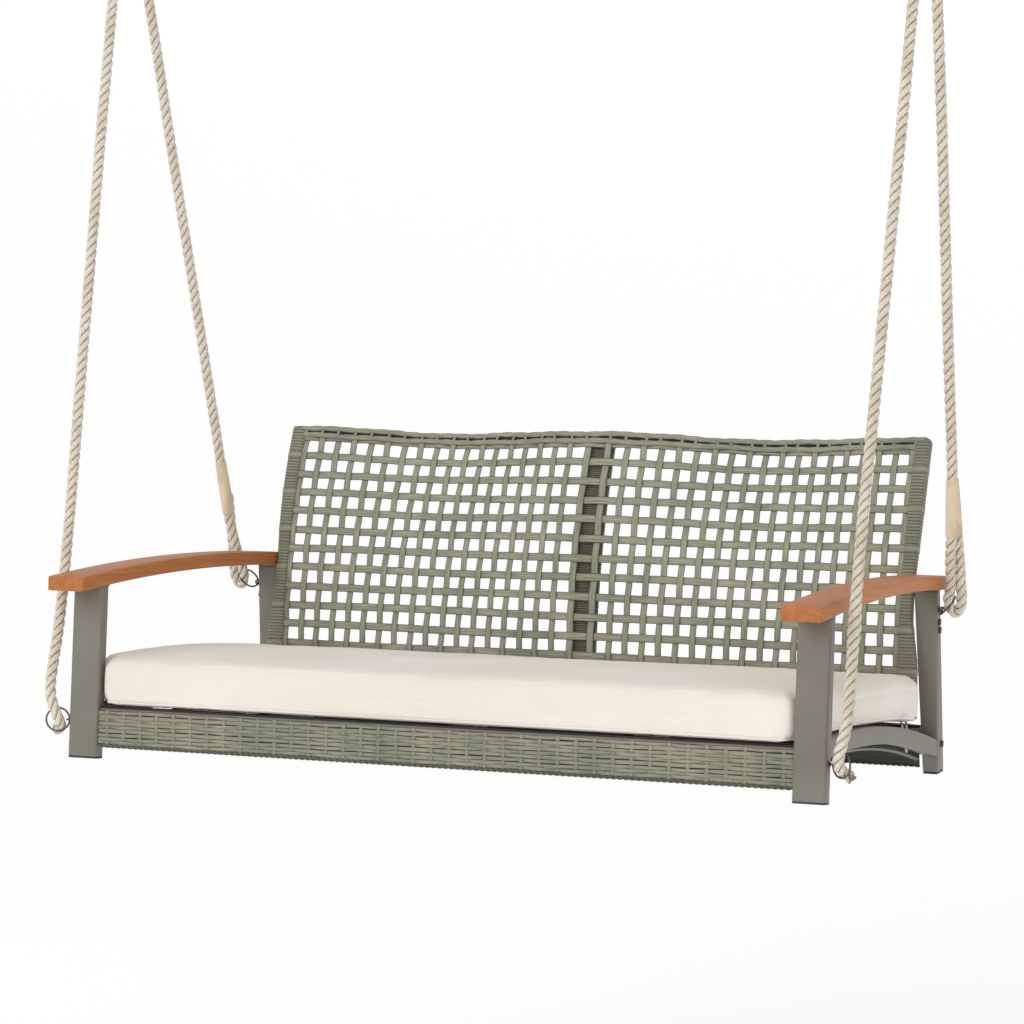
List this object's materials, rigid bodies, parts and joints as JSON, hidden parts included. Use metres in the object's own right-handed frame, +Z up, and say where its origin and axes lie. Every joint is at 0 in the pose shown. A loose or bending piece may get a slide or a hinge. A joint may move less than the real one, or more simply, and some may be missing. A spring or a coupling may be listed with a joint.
{
  "type": "porch swing",
  "caption": "Two-seat hanging bench: open-weave curved back, woven apron, wood arms, seat cushion, and twisted ropes on two beam plates.",
  "frame": {"origin": "on the underside of the beam, midway between the two beam plates, at the centre of their four bolt holes", "axes": "+X towards the sitter's left, +Y towards the back of the bench, +Z up"},
  "size_m": [1.424, 0.7926, 1.5871],
  "materials": {
    "zinc_steel": "zinc plated, satin",
    "nylon": "matte",
    "rope": "twisted three-strand fibre",
    "twine": "tight whipping of fine twine",
    "powder_coat": "warm grey powder coat, satin",
    "black_plastic": "matte",
    "black_steel": "black oxide, satin",
    "wood": "oiled hardwood, satin",
    "wicker": "flat woven resin wicker, matte",
    "dark_wicker": "woven resin wicker, matte",
    "canvas": "outdoor canvas, matte"
  },
  "bodies": {
    "beam_mount": {"plate_left": "zinc_steel", "plate_right": "zinc_steel", "pivot_bolt_left": "zinc_steel", "pivot_bolt_right": "zinc_steel", "bush_left": "nylon", "bush_right": "nylon"},
    "hangers_left": {"hanger_left": "zinc_steel"},
    "hangers_right": {"hanger_right": "zinc_steel"},
    "ropes_left": {"top_ring_left": "zinc_steel", "front_rope_left": "rope", "rear_rope_left": "rope", "top_whippings_left": "twine", "rear_whipping_left": "twine", "front_ring_left": "zinc_steel", "rear_ring_left": "zinc_steel"},
    "ropes_right": {"top_ring_right": "zinc_steel", "front_rope_right": "rope", "rear_rope_right": "rope", "top_whippings_right": "twine", "rear_whipping_right": "twine", "front_ring_right": "zinc_steel", "rear_ring_right": "zinc_steel"},
    "bench": {"front_leg_left": "powder_coat", "front_leg_right": "powder_coat", "rear_leg_left": "powder_coat", "rear_leg_right": "powder_coat", "leg_end_caps": "black_plastic", "arm_plates": "powder_coat", "armrest_left": "wood", "armrest_right": "wood", "side_rail_left": "powder_coat", "side_rail_right": "powder_coat", "front_rail": "powder_coat", "apron_rod": "powder_coat", "front_apron": "wicker", "rear_rail": "powder_coat", "rear_apron": "dark_wicker", "seat_ribs": "powder_coat", "seat_deck": "dark_wicker", "frame_bolts": "black_steel", "back_stile_left": "wicker", "back_stile_right": "wicker", "back_top_rail": "wicker", "back_bottom_rail": "wicker", "back_centre_post": "wicker", "back_uprights": "wicker", "back_cross_strips": "wicker", "cushion": "canvas", "cushion_ties": "canvas", "eye_bolts": "zinc_steel", "rivet_nuts": "zinc_steel", "arm_screws": "zinc_steel"}
  },
  "joints": [
    {"name": "swing", "type": "hinge", "parent": "beam_mount", "child": "hangers_left", "pos_m": [0.68, 0, -0.038], "axis": [1, 0, 0], "range_deg": [-25, 25]},
    {"name": "sway", "type": "hinge", "parent": "hangers_left", "child": "ropes_left", "pos_m": [0.68, 0, -0.0766], "axis": [0, 0.9687, 0.248], "range_deg": [-2.5, 2.5]},
    {"name": "bench_level", "type": "hinge", "parent": "ropes_left", "child": "bench", "pos_m": [0.6249, -0.30424, -1.48098], "axis": [0, 0.9687, 0.248], "range_deg": [-2.8, 2.8]},
    {"name": "swing_right", "type": "hinge", "parent": "beam_mount", "child": "hangers_right", "pos_m": [-0.68, 0, -0.038], "axis": [1, 0, 0], "range_deg": [-25, 25]},
    {"name": "sway_right", "type": "hinge", "parent": "hangers_right", "child": "ropes_right", "pos_m": [-0.68, 0, -0.0766], "axis": [0, 0.9687, 0.248], "range_deg": [-2.5, 2.5]}
  ],
  "couplings": [
    {"joint": "bench_level", "follows": "sway", "ratio": -1.0882},
    {"joint": "swing_right", "follows": "swing", "ratio": 1},
    {"joint": "sway_right", "follows": "sway", "ratio": 1}
  ]
}
